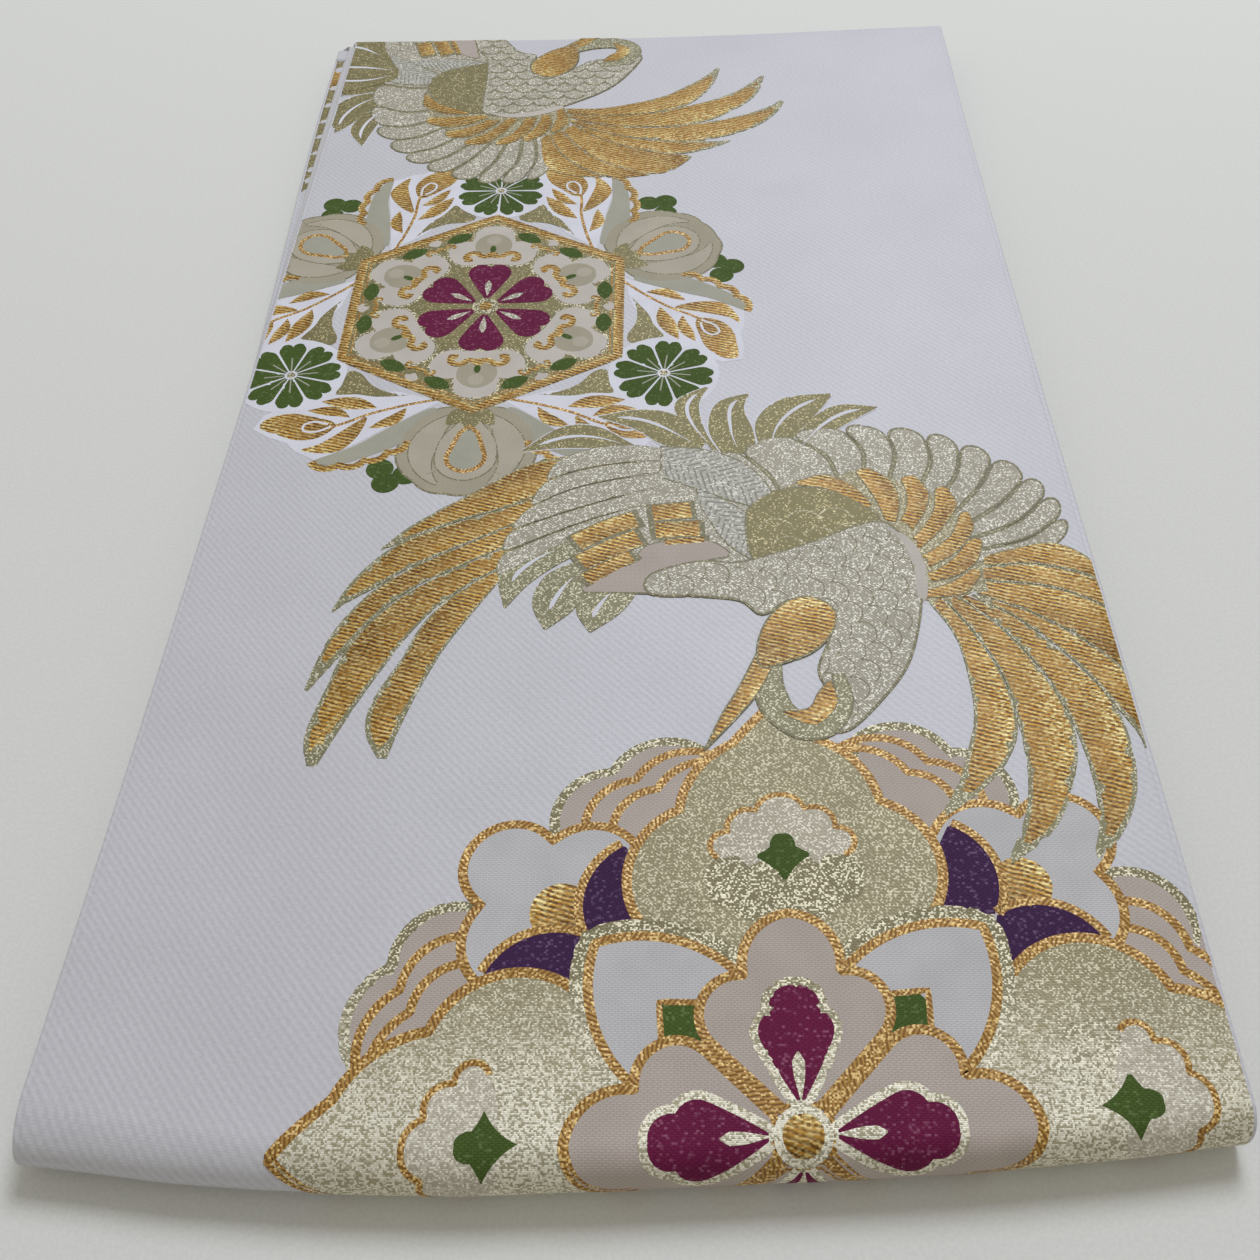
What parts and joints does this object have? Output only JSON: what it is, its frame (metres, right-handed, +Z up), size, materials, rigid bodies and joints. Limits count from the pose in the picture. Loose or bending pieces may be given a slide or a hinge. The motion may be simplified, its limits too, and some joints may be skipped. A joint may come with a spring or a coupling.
{
  "type": "folded obi sash",
  "caption": "Wide woven silk obi sash with a lining, folded by halves into a flat rectangular bundle that lies on a surface",
  "frame": {"origin": "middle of the underside of the folded bundle, on the surface it lies on", "axes": "+X across the sash, +Y along the sash from the near fold to the far fold, +Z up"},
  "size_m": [0.3188, 0.5794, 0.0181],
  "materials": {
    "face_cloth": "figured silk satin, pale lavender white with gold, silver and coloured weft motifs",
    "lining_cloth": "plain cream silk twill",
    "folded_plies": "edges of the folded face and lining"
  },
  "bodies": {
    "root": {"top_stretch": "face_cloth", "second_stretch": "lining_cloth", "third_stretch": "face_cloth", "inner_folds": "folded_plies", "under_stretch": "face_cloth"}
  },
  "joints": []
}
